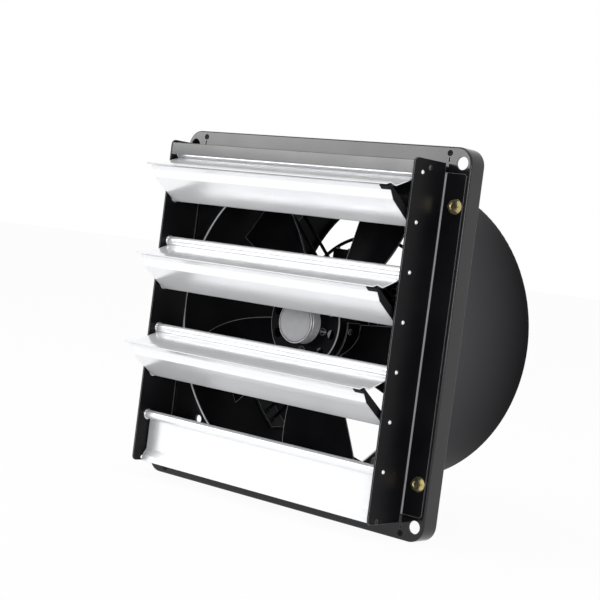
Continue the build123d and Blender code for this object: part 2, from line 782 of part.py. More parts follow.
with BuildPart() as boss_cap:
    cap_rear_y = boss_front_y - cap_gap
    cap_front_y = cap_rear_y - cap_thickness
    plug_radius = shaft_radius - fit_gap
    turned([(0, cap_front_y + cap_rim_height),
            (cap_radius - 2 * cap_rim_width, cap_front_y + cap_rim_height),
            (cap_radius - cap_rim_width - cap_edge_radius / 2, cap_front_y),
            (cap_radius - cap_edge_radius / 2, cap_front_y), (cap_radius, cap_front_y + cap_edge_radius / 2),
            (cap_radius, cap_rear_y), (plug_radius, cap_rear_y),
            (plug_radius, boss_front_y + cap_plug_length), (0, boss_front_y + cap_plug_length)])
save(boss_cap, "boss_cap")

with BuildPart() as set_screws:
    set_screw_rear = boss_radius - set_screw_sink
    for angle in set_screw_angles:
        with BuildSketch(across(shaft_radius + fit_gap, angle)):
            with Locations((0, -set_screw_y)):
                Circle(set_screw_radius)
        extrude(amount=set_screw_rear - shaft_radius - fit_gap)
        with BuildSketch(across(set_screw_rear, angle)):
            with Locations((0, -set_screw_y)):
                RegularPolygon(set_screw_radius / 2, 6)
        extrude(amount=-set_screw_radius, mode=Mode.SUBTRACT)
save(set_screws, "set_screws")

with BuildPart() as hub_screws:
    with BuildSketch(at_depth(flange_rear_y)):
        with Locations(hub_screw_places):
            Circle(hub_screw_radius)
    extrude(amount=flange_rear_y - hub_front_y)
    with BuildSketch(at_depth(hub_front_y)):
        with Locations(hub_screw_places):
            Circle(hub_screw_head_radius)
    extrude(amount=hub_screw_head_height)
    head_front_y = hub_front_y - hub_screw_head_height
    with BuildSketch(at_depth(head_front_y + hub_screw_slot_depth)):
        with Locations(hub_screw_places):
            Rectangle(2 * hub_screw_head_radius + overrun, hub_screw_slot_width)
    extrude(amount=hub_screw_slot_depth, mode=Mode.SUBTRACT)
save(hub_screws, "hub_screws")

# Motor shaft, rotor and bearings
with BuildPart() as motor_shaft:
    with BuildSketch(at_depth(shaft_rear_y)):
        Circle(shaft_radius)
    extrude(amount=shaft_rear_y - shaft_front_y)
    chamfer(motor_shaft.edges().filter_by(GeomType.CIRCLE), length=pin_chamfer)
save(motor_shaft, "motor_shaft")

with BuildPart() as rotor_core:
    tube(core_front_y, core_rear_y, core_inner_radius - rotor_gap, shaft_radius + fit_gap)
save(rotor_core, "rotor_core")

bearing_front_y = motor_front_y + bell_wall
bearing_rear_y = motor_rear_y - bell_wall
with BuildPart() as front_bearing:
    tube(bearing_front_y, bearing_front_y + bearing_width, bearing_radius, shaft_radius + bearing_gap)
save(front_bearing, "front_bearing")

with BuildPart() as rear_bearing:
    tube(bearing_rear_y - bearing_width, bearing_rear_y, bearing_radius, shaft_radius + bearing_gap)
save(rear_bearing, "rear_bearing")

# Motor casing: two end bells and the rolled shell between them
seat_inner = bearing_radius + bearing_gap
seat_outer = seat_inner + bearing_seat_wall
through_places = ring_places(through_bolt_reach, 4, 0)
vent_places = ring_places(vent_reach, vent_count, diagonal_angle / 2)
shaft_hole = shaft_radius + shaft_hole_gap
with BuildPart() as front_end_bell:
    turned([(shaft_hole, motor_front_y), (motor_radius, motor_front_y), (motor_radius, front_bell_rear_y),
            (motor_radius - bell_wall, front_bell_rear_y), (motor_radius - bell_wall, bearing_front_y),
            (seat_outer, bearing_front_y), (seat_outer, bearing_front_y + bearing_width),
            (seat_inner, bearing_front_y + bearing_width), (seat_inner, bearing_front_y),
            (shaft_hole, bearing_front_y)])
    cut_round_holes(motor_front_y - overrun, bearing_front_y + overrun, through_bolt_hole_radius,
                    through_places)
    cut_round_holes(motor_front_y - overrun, bearing_front_y + overrun, vent_radius, vent_places)
save(front_end_bell, "front_end_bell")

mount_places = ring_places(mount_bolt_reach, 4, diagonal_angle)
with BuildPart() as rear_end_bell:
    turned([(shaft_hole, motor_rear_y), (motor_radius, motor_rear_y), (motor_radius, rear_bell_front_y),
            (motor_radius - bell_wall, rear_bell_front_y), (motor_radius - bell_wall, bearing_rear_y),
            (seat_outer, bearing_rear_y), (seat_outer, bearing_rear_y - bearing_width),
            (seat_inner, bearing_rear_y - bearing_width), (seat_inner, bearing_rear_y),
            (shaft_hole, bearing_rear_y)])
    with BuildSketch(at_depth(spider_front_y)):
        for quarter in range(4):
            middle = diagonal_angle + quarter * flat_angle / 4
            sector(motor_radius - bell_wall / 2, lug_outer_radius, middle - lug_half_angle,
                   2 * lug_half_angle)
    extrude(amount=lug_thickness)
    cut_round_holes(rear_bell_front_y, spider_front_y + overrun, mount_bolt_hole_radius, mount_places)
    cut_round_holes(bearing_rear_y - overrun, motor_rear_y + overrun, through_bolt_hole_radius,
                    through_places)
    cut_round_holes(bearing_rear_y - overrun, motor_rear_y + overrun, vent_radius, vent_places)
save(rear_end_bell, "rear_end_bell")

with BuildPart() as motor_shell:
    tube(front_bell_rear_y, rear_bell_front_y, motor_radius, motor_radius - motor_sheet)
save(motor_shell, "motor_shell")

with BuildPart() as stator_core:
    tube(core_front_y, core_rear_y, core_outer_radius, core_inner_radius)
    cut_round_holes(core_front_y - overrun, core_rear_y + overrun, through_bolt_hole_radius, through_places)
    cut_round_holes(core_front_y - overrun, core_rear_y + overrun, core_slot_radius,
                    ring_places(core_slot_reach, core_slot_count, 0))
save(stator_core, "stator_core")

with BuildPart() as stator_windings:
    coil_reach = core_inner_radius + winding_radius
    leg_radius = core_slot_radius - winding_gap
    for end_y in (core_front_y - winding_radius, core_rear_y + winding_radius):
        with BuildSketch(Plane.XY):
            with Locations((coil_reach, end_y)):
                Circle(winding_radius - winding_gap)
        revolve(axis=Axis.Y)
    with BuildSketch(at_depth(core_rear_y + winding_radius)):
        with Locations(ring_places(core_slot_reach, core_slot_count, 0)):
            Circle(leg_radius)
    extrude(amount=core_rear_y - core_front_y + 2 * winding_radius)
save(stator_windings, "stator_windings")

with BuildPart() as motor_through_bolts:
    with BuildSketch(at_depth(motor_rear_y + through_bolt_head_height)):
        with Locations(through_places):
            Circle(through_bolt_radius)
    extrude(amount=motor_rear_y + through_bolt_head_height - motor_front_y)
    with BuildSketch(at_depth(motor_front_y)):
        with Locations(through_places):
            Circle(through_bolt_head_radius)
    extrude(amount=through_bolt_head_height)
save(motor_through_bolts, "motor_through_bolts")

with BuildPart() as motor_through_nuts:
    with BuildSketch(at_depth(motor_rear_y + through_bolt_head_height)):
        with Locations(through_places):
            RegularPolygon(through_bolt_head_radius, 6)
            Circle(through_bolt_radius + pin_press_clearance, mode=Mode.SUBTRACT)
    extrude(amount=through_bolt_head_height)
save(motor_through_nuts, "motor_through_nuts")

# Motor spider: mounting ring, four pairs of wires, the wire ring behind them, and four feet
spider_rear_y = spider_front_y + spider_plate_thickness
spider_angles = [diagonal_angle + quarter * flat_angle / 4 for quarter in range(4)]
with BuildPart() as spider_plate:
    tube(spider_front_y, spider_rear_y, spider_plate_outer_radius, spider_plate_inner_radius)
    cut_round_holes(spider_front_y - overrun, spider_rear_y + overrun, mount_bolt_hole_radius, mount_places)
save(spider_plate, "spider_plate")

with BuildPart() as spider_wires:
    wire_start = spider_plate_outer_radius + wire_seat_gap
    foot_inner_radius = foot_outer_radius - foot_sheet
    wire_end = sqrt(foot_inner_radius ** 2 - (wire_gap / 2 + wire_radius) ** 2) - wire_seat_gap
    for middle in spider_angles:
        with BuildSketch(across(wire_start, middle)):
            with Locations((-wire_gap / 2, -spider_wire_y), (wire_gap / 2, -spider_wire_y)):
                Circle(wire_radius)
        extrude(amount=wire_end - wire_start)
save(spider_wires, "spider_wires")

with BuildPart() as spider_wire_ring:
    with BuildSketch(Plane.XY):
        with Locations((wire_ring_radius, spider_wire_y + 2 * wire_radius + wire_seat_gap)):
            Circle(wire_radius)
    revolve(axis=Axis.Y)
save(spider_wire_ring, "spider_wire_ring")

with BuildPart() as spider_feet:
    for middle in spider_angles:
        with BuildSketch(at_depth(spider_wire_y + foot_width / 2)):
            sector(foot_inner_radius, foot_outer_radius, middle - foot_half_angle, 2 * foot_half_angle)
        extrude(amount=foot_width)
save(spider_feet, "spider_feet")

lug_front_y = spider_front_y - lug_thickness
mount_nut_rear_y = spider_rear_y + mount_nut_height
with BuildPart() as motor_mount_bolts:
    with BuildSketch(at_depth(mount_nut_rear_y + mount_bolt_tail)):
        with Locations(mount_places):
            Circle(mount_bolt_radius)
    extrude(amount=mount_nut_rear_y + mount_bolt_tail - lug_front_y)
    with BuildSketch(at_depth(lug_front_y)):
        with Locations(mount_places):
            RegularPolygon(mount_bolt_head_radius, 6)
    extrude(amount=mount_bolt_head_height)
save(motor_mount_bolts, "motor_mount_bolts")

with BuildPart() as motor_mount_nuts:
    with BuildSketch(at_depth(mount_nut_rear_y)):
        with Locations(mount_places):
            RegularPolygon(mount_bolt_head_radius, 6)
            Circle(mount_bolt_radius + pin_press_clearance, mode=Mode.SUBTRACT)
    extrude(amount=mount_nut_height)
save(motor_mount_nuts, "motor_mount_nuts")

# Terminal box on top of the motor's shell, with lid, screws, terminal block and gland
box_floor_z = box_base_z + box_saddle
box_rim_z = box_floor_z + box_height
box_top_z = box_rim_z + box_lid_thickness
post_x = box_width / 2 - box_wall - lid_post_radius + lid_post_sink
post_y = box_depth / 2 - box_wall - lid_post_radius + lid_post_sink
post_places = [(i * post_x, box_middle_y + j * post_y) for i in (-1, 1) for j in (-1, 1)]
gland_z = box_floor_z + box_height / 2
with BuildPart() as terminal_box:
    with BuildSketch(Plane.XY.offset(box_base_z - box_saddle)):
        with Locations((0, box_middle_y)):
            RectangleRounded(box_width, box_depth, box_corner_radius)
    extrude(amount=box_rim_z - box_base_z + box_saddle)
    with BuildSketch(Plane.XY.offset(box_floor_z + box_wall)):
        with Locations((0, box_middle_y)):
            RectangleRounded(box_width - 2 * box_wall, box_depth - 2 * box_wall,
                             box_corner_radius - box_wall)
    extrude(amount=box_height, mode=Mode.SUBTRACT)
    with BuildSketch(Plane.XY.offset(box_floor_z)):
        with Locations(post_places):
            Circle(lid_post_radius)
    extrude(amount=box_height)
    with BuildSketch(Plane.XY.offset(box_rim_z)):
        with Locations(post_places):
            Circle(lid_screw_radius)
    extrude(amount=-box_height / 2, mode=Mode.SUBTRACT)
    with BuildSketch(Plane.YZ.offset(box_width / 2 + overrun)):
        with Locations((box_middle_y, gland_z)):
            Circle(gland_thread_radius + fit_gap)
    extrude(amount=-(box_wall + 2 * overrun), mode=Mode.SUBTRACT)
    cut_round_holes(front_bell_rear_y, rear_bell_front_y, motor_radius + core_gap, [(0, 0)])
save(terminal_box, "terminal_box")

with BuildPart() as terminal_box_lid:
    with BuildSketch(Plane.XY.offset(box_rim_z)):
        with Locations((0, box_middle_y)):
            RectangleRounded(box_width, box_depth, box_corner_radius)
    extrude(amount=box_lid_thickness)
    fillet(terminal_box_lid.faces().sort_by(Axis.Z)[-1].edges(), radius=box_lid_thickness / 3)
    with BuildSketch(Plane.XY.offset(box_rim_z)):
        with Locations(post_places):
            Circle(lid_screw_radius + fit_gap)
    extrude(amount=box_lid_thickness, mode=Mode.SUBTRACT)
save(terminal_box_lid, "terminal_box_lid")

with BuildPart() as lid_screws:
    with BuildSketch(Plane.XY.offset(box_top_z)):
        with Locations(post_places):
            Circle(lid_screw_head_radius)
    extrude(amount=lid_screw_head_height, taper=diagonal_angle / 2)
    with BuildSketch(Plane.XY.offset(box_top_z)):
        with Locations(post_places):
            Circle(lid_screw_radius - fit_gap)
    extrude(amount=-(box_lid_thickness + box_height / 3))
save(lid_screws, "lid_screws")

with BuildPart() as terminal_block:
    with BuildSketch(Plane.XY.offset(box_floor_z + box_wall)):
        with Locations((0, box_middle_y)):
            Rectangle(terminal_width, terminal_depth)
    extrude(amount=terminal_height)
    with BuildSketch(Plane.XY.offset(box_floor_z + box_wall + terminal_height)):
        with Locations((0, box_middle_y)):
            with GridLocations(terminal_width / terminal_count, 0, terminal_count, 1):
                Circle(terminal_hole_radius)
    extrude(amount=-terminal_height / 2, mode=Mode.SUBTRACT)
save(terminal_block, "terminal_block")

with BuildPart() as cable_gland:
    gland_plane = Plane.YZ.offset(box_width / 2)
    with BuildSketch(gland_plane):
        with Locations((box_middle_y, gland_z)):
            RegularPolygon(gland_radius, 6)
    extrude(amount=gland_length / 3)
    with BuildSketch(gland_plane.offset(gland_length / 3)):
        with Locations((box_middle_y, gland_z)):
            Circle(gland_thread_radius)
    extrude(amount=gland_length * 2 / 3)
    with BuildSketch(gland_plane):
        with Locations((box_middle_y, gland_z)):
            Circle(gland_thread_radius)
    extrude(amount=-(box_wall + gland_nut_thickness))
    with BuildSketch(gland_plane.offset(gland_length)):
        with Locations((box_middle_y, gland_z)):
            Circle(gland_bore_radius)
    extrude(amount=-(gland_length + box_wall + gland_nut_thickness), mode=Mode.SUBTRACT)
save(cable_gland, "cable_gland")

with BuildPart() as gland_nut:
    with BuildSketch(Plane.YZ.offset(box_width / 2 - box_wall)):
        with Locations((box_middle_y, gland_z)):
            RegularPolygon(gland_nut_radius, 6)
            Circle(gland_thread_radius + fit_gap, mode=Mode.SUBTRACT)
    extrude(amount=-gland_nut_thickness)
save(gland_nut, "gland_nut")

# Run capacitor under the shell, held by a clip, with its lead round the shell to the terminal box
clip_inner_radius = capacitor_radius + capacitor_clip_gap
clip_outer_radius = clip_inner_radius + capacitor_clip_sheet
capacitor_middle_y = (capacitor_front_y + capacitor_rear_y) / 2
with BuildPart() as run_capacitor:
    with BuildSketch(at_depth(capacitor_rear_y)):
        with Locations((0, capacitor_z)):
            Circle(capacitor_radius)
    extrude(amount=capacitor_rear_y - capacitor_front_y)
    fillet(run_capacitor.edges().filter_by(GeomType.CIRCLE), radius=capacitor_edge_radius)
save(run_capacitor, "run_capacitor")

with BuildPart() as capacitor_clip:
    with BuildSketch(at_depth(capacitor_middle_y + capacitor_clip_width / 2)):
        with Locations((0, capacitor_z)):
            Circle(clip_outer_radius)
        saddle_z = -(motor_radius + core_gap)
        with Locations((0, capacitor_z)):
            Rectangle(capacitor_radius, saddle_z - capacitor_z, align=(Align.CENTER, Align.MIN))
        with Locations((0, capacitor_z)):
            Circle(clip_inner_radius, mode=Mode.SUBTRACT)
        Circle(motor_radius + core_gap, mode=Mode.SUBTRACT)
    extrude(amount=capacitor_clip_width)
save(capacitor_clip, "capacitor_clip")

with BuildPart() as capacitor_lead:
    lead_reach = motor_radius + lead_gap + lead_radius
    turn = radians(lead_start_angle)
    lead_plane = Plane(origin=(0, 0, 0), x_dir=(cos(turn), 0, sin(turn)), z_dir=(sin(turn), 0, -cos(turn)))
    with BuildSketch(lead_plane):
        with Locations((lead_reach, -box_middle_y)):
            Circle(lead_radius)
    revolve(axis=Axis.Y, revolution_arc=-(lead_end_angle - lead_start_angle))
save(capacitor_lead, "capacitor_lead")
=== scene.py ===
import json
import math

import bpy
from mathutils import Matrix, Vector


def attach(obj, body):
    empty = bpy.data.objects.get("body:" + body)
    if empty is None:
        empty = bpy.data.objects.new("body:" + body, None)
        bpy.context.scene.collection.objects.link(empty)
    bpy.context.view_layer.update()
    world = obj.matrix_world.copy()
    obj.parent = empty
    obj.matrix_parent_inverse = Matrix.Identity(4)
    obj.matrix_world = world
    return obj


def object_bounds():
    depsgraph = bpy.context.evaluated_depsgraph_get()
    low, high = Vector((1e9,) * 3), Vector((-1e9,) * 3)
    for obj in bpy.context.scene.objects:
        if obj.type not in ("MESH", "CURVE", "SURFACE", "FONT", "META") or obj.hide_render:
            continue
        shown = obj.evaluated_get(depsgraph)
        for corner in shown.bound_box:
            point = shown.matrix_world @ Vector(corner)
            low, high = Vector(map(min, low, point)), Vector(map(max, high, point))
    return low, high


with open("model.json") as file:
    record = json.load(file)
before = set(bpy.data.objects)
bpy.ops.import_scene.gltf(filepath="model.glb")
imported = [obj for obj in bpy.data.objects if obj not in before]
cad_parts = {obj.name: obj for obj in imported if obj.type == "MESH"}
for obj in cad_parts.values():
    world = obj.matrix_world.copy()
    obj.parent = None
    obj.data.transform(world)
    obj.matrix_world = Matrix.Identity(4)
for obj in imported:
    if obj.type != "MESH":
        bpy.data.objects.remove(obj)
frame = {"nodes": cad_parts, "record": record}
cad_box = [list(corner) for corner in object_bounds()]
nodes = frame["nodes"]
MM = 0.001

# Camera of the photograph
CAMERA_TARGET = Vector((0.2, 0.0, 21.5)) * MM
CAMERA_DISTANCE = 1435.5 * MM
CAMERA_AZIMUTH = math.radians(40.643)
CAMERA_ELEVATION = math.radians(1.917)
CAMERA_ROLL = math.radians(7.393)
CAMERA_LENS = 88.39
SENSOR_WIDTH = 36.0

# Places where a finish, a painted highlight, a painted sheen or a painted shade changes, each as
# the start and the end of the change. A reach is a distance from the fan's axis. X and Y are the
# object's own axes, Y from shutter to motor.
OPENING_RADIUS = 155.5 * MM
PLATE_RING_REACH = (OPENING_RADIUS + 0.6 * MM, OPENING_RADIUS + 1.3 * MM)
BARREL_WALL_REACH = (OPENING_RADIUS + 0.3 * MM, OPENING_RADIUS + 0.9 * MM)
BARREL_SHEEN_Y = (50.0 * MM, 164.0 * MM)
BRACKET_X = 154.4 * MM
BRACKET_FOLD_X = (BRACKET_X + 1.2 * MM, BRACKET_X + 1.6 * MM)
BRACKET_FOLD_Y = (-2.8 * MM, -2.3 * MM)
HUB_RING_REACH = (43.0 * MM, 43.3 * MM)
HUB_FACE_Y = (12.0 * MM, 12.3 * MM)
CAP_RIM_REACH = (19.9 * MM, 20.1 * MM)
# The cap's dark line of painted shade: the span that it is measured in, and its start and end as
# shares of it
CAP_LINE_SPAN = (16.5 * MM, 21.0 * MM)
CAP_LINE = (0.62, 0.78)

# Colours that more than one place uses
BLACK = (0.0, 0.0, 0.0)
WHITE = (1.0, 1.0, 1.0)
ENAMEL = (0.006, 0.006, 0.007)
# A mid gray: the hub's painted highlight ring, and the darker sharp edges of the aluminium
HIGHLIGHT_AND_EDGE_GRAY = (0.5, 0.5, 0.51)

# The span that the values of a noise mostly cover
NOISE_START = 0.3
NOISE_END = 0.7
# Cosines between a face's own normal and its rounded one: no edge yet, and fully on the edge
EDGE_START = 0.999
EDGE_END = 0.93
EDGE_SAMPLES = 6
BUMP_EDGE_SAMPLES = 4
# Plastics: shares of the colour where it is darkest and lightest, and the spread of roughness
PLASTIC_SHADES = (0.85, 1.1)
PLASTIC_ROUGHNESS_SPREAD = 0.06

# Blind rivets in the plate's four mark holes, in mm: the outline is (distance from its line, y)
MARK_X = 155.0
MARK_Z = 174.0
RIVET_OUTLINE = [(0.7, 0.1), (1.2, -0.45), (2.3, -0.5), (2.8, -0.3), (2.8, -0.05), (1.4, -0.05),
                 (1.4, 1.2)]
RIVET_SIDES = 24

# Tabs behind the slits next to the mark holes, in mm
TAB_WIDTH = 8.0
TAB_HEIGHT = 13.0
TAB_FRONT_Y = 1.3
TAB_REAR_Y = 2.1
TAB_CUT = 1.5
TAB_INSET = 4.5

# Floor, card and world, in metres
FLOOR_REACH = 30.0
FLOOR_COLOR = (0.9, 0.9, 0.9)
FLOOR_ROUGHNESS = 0.9
FLOOR_WHITE = 0.95
FLAG_AZIMUTH = math.radians(-41.0)
FLAG_DISTANCE = 0.7
FLAG_HALF_WIDTH = 0.42
FLAG_LOW = -0.11
FLAG_HIGH = 0.187
WORLD_COLOR = (0.6, 0.6, 0.61)
WORLD_STRENGTH = 1.0
WORLD_WHITE = 1.0

# Lamps: name, azimuth and elevation in degrees, distance, width and height in metres, watts
LAMPS = [
    ("key", -42.0, 14.0, 2.4, 1.2, 1.15, 32.0),
    ("top", 20.0, 75.0, 2.0, 1.6, 1.6, 9.0),
    ("front", 48.0, 2.0, 2.5, 0.7, 0.7, 14.0),
]


def direction(azimuth, elevation):
    """Unit vector from the object towards a place seen at that azimuth and elevation."""
    flat = math.cos(elevation)
    return Vector((math.sin(azimuth) * flat, -math.cos(azimuth) * flat, math.sin(elevation)))


def facing(back):
    """The turn that points a camera or a lamp against a direction."""
    return (-back).to_track_quat("-Z", "Y").to_matrix()


def add_object(name, data):
    """Adds an object with its data to the scene."""
    thing = bpy.data.objects.new(name, data)
    bpy.context.scene.collection.objects.link(thing)
    return thing


def make_camera():
    """The photograph's camera, turned about its own line of sight by the roll."""
    data = bpy.data.cameras.new("photo_camera")
    data.lens = CAMERA_LENS
    data.sensor_width = SENSOR_WIDTH
    camera = add_object("photo_camera", data)
    back = direction(CAMERA_AZIMUTH, CAMERA_ELEVATION)
    turned = facing(back) @ Matrix.Rotation(CAMERA_ROLL, 3, "Z")
    place = Matrix.Translation(CAMERA_TARGET + back * CAMERA_DISTANCE)
    camera.matrix_world = place @ turned.to_4x4()
    bpy.context.scene.camera = camera


def add_node(tree, kind, **settings):
    """Adds a node with its settings to a tree."""
    node = tree.nodes.new(kind)
    for setting, value in settings.items():
        setattr(node, setting, value)
    return node


def set_inputs(node, **values):
    """Sets inputs of a node by name, with _ for each space. Colours get their alpha of 1."""
    for name, value in values.items():
        socket = node.inputs[name.replace("_", " ")]
        socket.default_value = (*value, 1.0) if socket.type == "RGBA" else value


def calculated(tree, operation, *values):
    """Result of a Math node, of other nodes' outputs or plain numbers."""
    node = add_node(tree, "ShaderNodeMath", operation=operation)
    for socket, value in zip(node.inputs, values):
        if isinstance(value, float):
            socket.default_value = value
        else:
            tree.links.new(value, socket)
    return node.outputs["Value"]


class Shader:
    """A node material with one principled shader, built a node at a time.

    The colour and roughness that it starts with hold only where no node is linked to them.
    """

    def __init__(self, name, color, metallic, roughness, specular=0.5):
        self.material = bpy.data.materials.new(name)
        self.material.use_nodes = True
        self.tree = self.material.node_tree
        self.main = self.tree.nodes["Principled BSDF"]
        set_inputs(self.main, Base_Color=color, Metallic=metallic, Roughness=roughness,
                   Specular_IOR_Level=specular)
        self.place = self.add("ShaderNodeTexCoord").outputs["Object"]

    def add(self, kind, **settings):
        """Adds a node to this material."""
        return add_node(self.tree, kind, **settings)

    def link(self, source, target):
        """Links an output to an input."""
        self.tree.links.new(source, target)

    def stretched(self, x, y, z):
        """The object's own coordinates, scaled along each axis."""
        mapping = self.add("ShaderNodeMapping")
        set_inputs(mapping, Scale=(x, y, z))
        self.link(self.place, mapping.inputs["Vector"])
        return mapping.outputs["Vector"]

    def noise(self, vector, scale, detail=2.0):
        """A noise of that many waves per metre."""
        node = self.add("ShaderNodeTexNoise")
        set_inputs(node, Scale=scale, Detail=detail)
        self.link(vector, node.inputs["Vector"])
        return node.outputs["Fac"]

    def ranged(self, source, low, high, start=NOISE_START, end=NOISE_END):
        """A value that runs from low to high as the source runs from start to end."""
        node = self.add("ShaderNodeMapRange")
        set_inputs(node, From_Min=start, From_Max=end, To_Min=low, To_Max=high)
        self.link(source, node.inputs["Value"])
        return node.outputs["Result"]

    def tinted(self, source, dark, light, start=NOISE_START, end=NOISE_END):
        """A colour that runs from dark to light as the source runs from start to end."""
        node = self.add("ShaderNodeValToRGB")
        first, last = node.color_ramp.elements
        first.position, first.color = start, (*dark, 1.0)
        last.position, last.color = end, (*light, 1.0)
        self.link(source, node.inputs["Fac"])
        return node.outputs["Color"]

    def stripe(self, source, start, end):
        """White where the source lies between start and end, and black elsewhere."""
        node = self.add("ShaderNodeValToRGB")
        ramp = node.color_ramp
        ramp.interpolation = "CONSTANT"
        ramp.elements[0].color = (*BLACK, 1.0)
        ramp.elements[1].position = start
        ramp.elements[1].color = (*WHITE, 1.0)
        ramp.elements.new(end).color = (*BLACK, 1.0)
        self.link(source, node.inputs["Fac"])
        return node.outputs["Color"]

    def color(self, output):
        """Links the base colour."""
        self.link(output, self.main.inputs["Base Color"])

    def rough(self, output):
        """Links the roughness."""
        self.link(output, self.main.inputs["Roughness"])

    def reach(self):
        """Distance from the fan's axis."""
        flat = self.add("ShaderNodeVectorMath", operation="MULTIPLY")
        flat.inputs[1].default_value = (1.0, 0.0, 1.0)
        self.link(self.place, flat.inputs[0])
        length = self.add("ShaderNodeVectorMath", operation="LENGTH")
        self.link(flat.outputs["Vector"], length.inputs[0])
        return length.outputs["Value"]

    def along(self, axis):
        """The place along one axis."""
        parts = self.add("ShaderNodeSeparateXYZ")
        self.link(self.place, parts.inputs["Vector"])
        return parts.outputs[axis]

    def rounded(self, radius, samples):
        """The normal with the sharp edges rounded off by a radius."""
        node = self.add("ShaderNodeBevel", samples=samples)
        set_inputs(node, Radius=radius)
        return node.outputs["Normal"]

    def edges(self, radius, start=EDGE_START, end=EDGE_END):
        """A value that is 1 along the sharp edges and 0 away from them."""
        across = self.add("ShaderNodeVectorMath", operation="DOT_PRODUCT")
        self.link(self.rounded(radius, EDGE_SAMPLES), across.inputs[0])
        self.link(self.add("ShaderNodeNewGeometry").outputs["Normal"], across.inputs[1])
        return self.ranged(across.outputs["Value"], 0.0, 1.0, start, end)

    def mixed(self, share, first, second):
        """A colour between two, by a share."""
        node = self.add("ShaderNodeMix", data_type="RGBA")
        self.link(share, node.inputs["Factor"])
        for name, value in (("A", first), ("B", second)):
            socket = [s for s in node.inputs if s.name == name and s.type == "RGBA"][0]
            if isinstance(value, tuple):
                socket.default_value = (*value, 1.0)
            else:
                self.link(value, socket)
        return [s for s in node.outputs if s.type == "RGBA"][0]

    def bump(self, height, distance, strength, edge=0.0):
        """Relief of a height field, with sharp edges rounded off where an edge radius is given."""
        node = self.add("ShaderNodeBump")
        set_inputs(node, Distance=distance, Strength=strength)
        self.link(height, node.inputs["Height"])
        if edge:
            self.link(self.rounded(edge, BUMP_EDGE_SAMPLES), node.inputs["Normal"])
        self.link(node.outputs["Normal"], self.main.inputs["Normal"])


def black_paint(name, specular, roughness, edge=(0.16, 0.16, 0.165)):
    """Black enamel on sheet steel: fine orange peel, faint clouds, and edges lighter from thin
    paint and a painted highlight.
    """
    s = Shader(name, ENAMEL, metallic=0.0, roughness=roughness[0], specular=specular)
    clouds = s.noise(s.place, scale=14.0, detail=3.0)
    s.rough(s.ranged(clouds, *roughness))
    s.ground = s.tinted(clouds, (0.004, 0.004, 0.005), (0.008, 0.008, 0.009))
    # Lighter along the sharp edges: partly paint worn thin there, partly a painted edge highlight
    s.paint = s.mixed(s.edges(0.6 * MM), s.ground, edge)
    s.color(s.paint)
    peel = s.noise(s.place, scale=900.0, detail=1.0)
    s.bump(peel, distance=0.02 * MM, strength=0.4, edge=0.5 * MM)
    return s


def plate_paint():
    """The plate's enamel, with a painted highlight in a narrow ring along the edge of the opening.
    """
    s = black_paint("plate_paint", specular=0.42, roughness=(0.12, 0.2))
    # Painted highlight: a light ring along the edge of the opening
    painted_ring_highlight = s.ranged(s.reach(), 1.0, 0.0, *PLATE_RING_REACH)
    s.color(s.mixed(painted_ring_highlight, s.paint, (0.8, 0.8, 0.81)))
    return s.material


def bracket_paint():
    """The brackets' enamel: semi-matt, with a painted highlight where the sheet was folded."""
    s = black_paint("bracket_paint", specular=0.1, roughness=(0.32, 0.4),
                    edge=(0.26, 0.26, 0.27))
    # Painted highlight: a light line along the bend where the sheet was folded
    across = calculated(s.tree, "ABSOLUTE", s.along("X"))
    near = s.ranged(across, 1.0, 0.0, *BRACKET_FOLD_X)
    low = s.ranged(s.along("Y"), 0.0, 1.0, *BRACKET_FOLD_Y)
    painted_fold_highlight = calculated(s.tree, "MULTIPLY", near, low)
    s.color(s.mixed(painted_fold_highlight, s.paint, (0.3, 0.3, 0.31)))
    return s.material


def barrel_paint():
    """The barrel's enamel: matt and deep black inside, satin outside, with a painted sheen outside
    that is lightest near the plate.
    """
    s = black_paint("barrel_paint", specular=0.02, roughness=(0.3, 0.4),
                    edge=(0.05, 0.05, 0.052))
    outside = s.ranged(s.reach(), 0.0, 1.0, *BARREL_WALL_REACH)
    # Painted sheen: the outside is lighter near the plate and darkens towards the rim
    painted_sheen = s.tinted(s.along("Y"), (0.072, 0.072, 0.078), (0.005, 0.005, 0.006),
                      *BARREL_SHEEN_Y)
    s.color(s.mixed(outside, s.paint, painted_sheen))
    s.rough(s.ranged(outside, 0.65, 0.34, 0.0, 1.0))
    return s.material


def matt_coat(name):
    """Thin matt coat on the impeller and the motor, with its colour still to be linked."""
    s = Shader(name, ENAMEL, metallic=0.0, roughness=0.45, specular=0.03)
    clouds = s.noise(s.place, scale=30.0, detail=3.0)
    s.rough(s.ranged(clouds, 0.38, 0.5))
    s.ground = s.tinted(clouds, (0.003, 0.003, 0.004), (0.006, 0.006, 0.007))
    grain = s.noise(s.place, scale=700.0)
    s.bump(grain, distance=0.03 * MM, strength=0.5, edge=0.4 * MM)
    return s


def black_coat():
    """The matt coat, lighter along the cut edges: partly bare metal there, partly a painted edge
    highlight.
    """
    s = matt_coat("black_coat")
    # Lighter along the cut edges: partly bare metal, partly a painted edge highlight
    s.color(s.mixed(s.edges(0.8 * MM), s.ground, (0.4, 0.4, 0.41)))
    return s.material


def hub_coat():
    """The hub's matt coat, with a painted highlight in a narrow ring round its face."""
    s = matt_coat("hub_coat")
    # Painted highlight: a light ring round the hub's face
    ring = s.ranged(s.reach(), 0.0, 1.0, *HUB_RING_REACH)
    front = s.ranged(s.along("Y"), 1.0, 0.0, *HUB_FACE_Y)
    s.color(s.mixed(calculated(s.tree, "MULTIPLY", ring, front), s.ground, HIGHLIGHT_AND_EDGE_GRAY))
    return s.material


